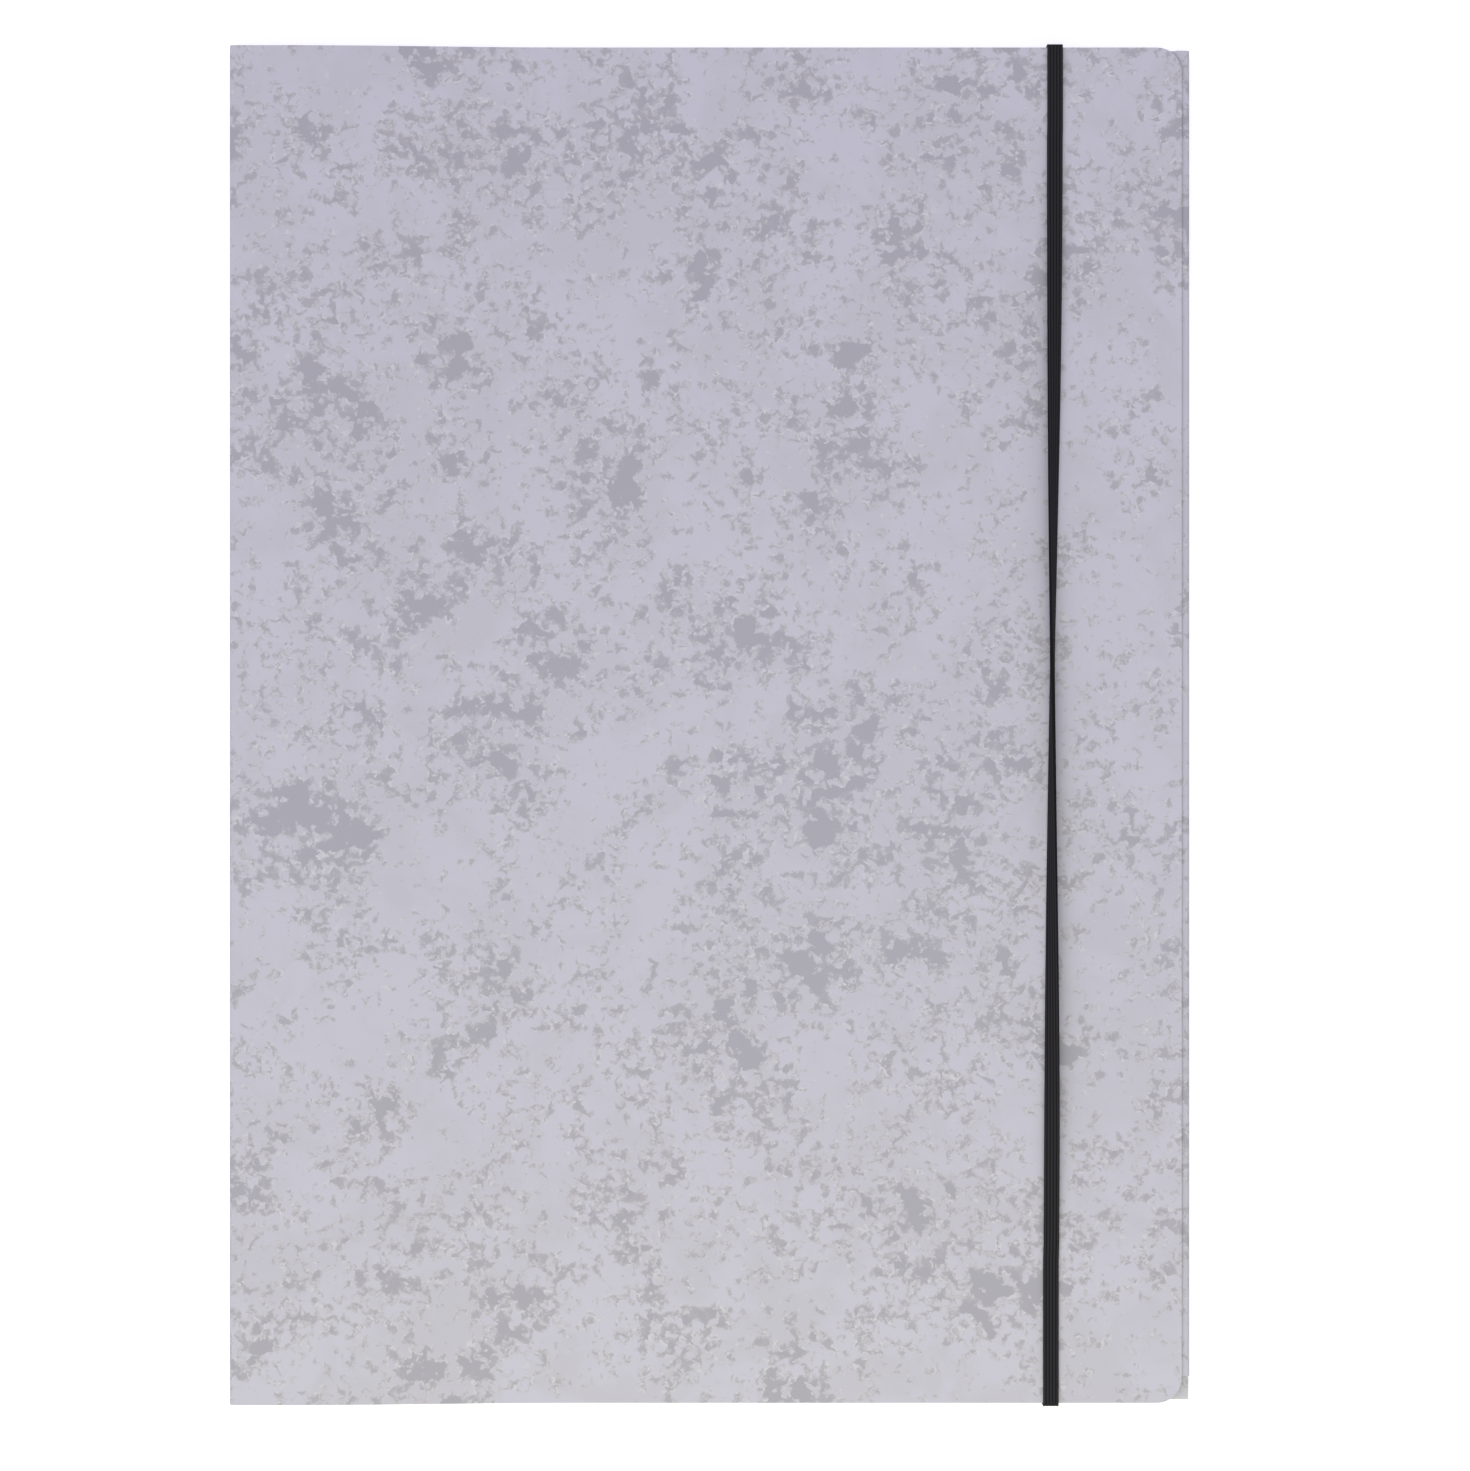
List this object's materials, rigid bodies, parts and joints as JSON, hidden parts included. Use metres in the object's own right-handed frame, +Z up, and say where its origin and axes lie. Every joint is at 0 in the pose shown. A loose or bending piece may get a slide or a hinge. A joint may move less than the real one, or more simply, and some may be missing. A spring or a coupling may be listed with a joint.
{
  "type": "cardboard portfolio folder",
  "caption": "Closed A3 portfolio folder in marbled grey card, with turned-in flaps inside and a flat black elastic round its front.",
  "frame": {"origin": "on the table under the middle of the folder, which lies on its back panel", "axes": "+Z up through the front cover, +X from the spine to the side flap, +Y to the top edge"},
  "size_m": [0.3184, 0.4522, 0.0142],
  "materials": {
    "marbled_card": "matte",
    "elastic": "matte",
    "clasp_steel": "satin"
  },
  "bodies": {
    "folder": {"folder_body": "marbled_card", "elastic_band": "elastic", "band_clasp_top": "clasp_steel", "band_clasp_bottom": "clasp_steel"},
    "cover": {"front_cover": "marbled_card"}
  },
  "joints": [
    {"name": "cover_hinge", "type": "hinge", "parent": "folder", "child": "cover", "pos_m": [-0.1588, 0, 0.0116], "axis": [0, -1, 0], "range_deg": [0, 180], "deforming": ["elastic_band"]}
  ]
}
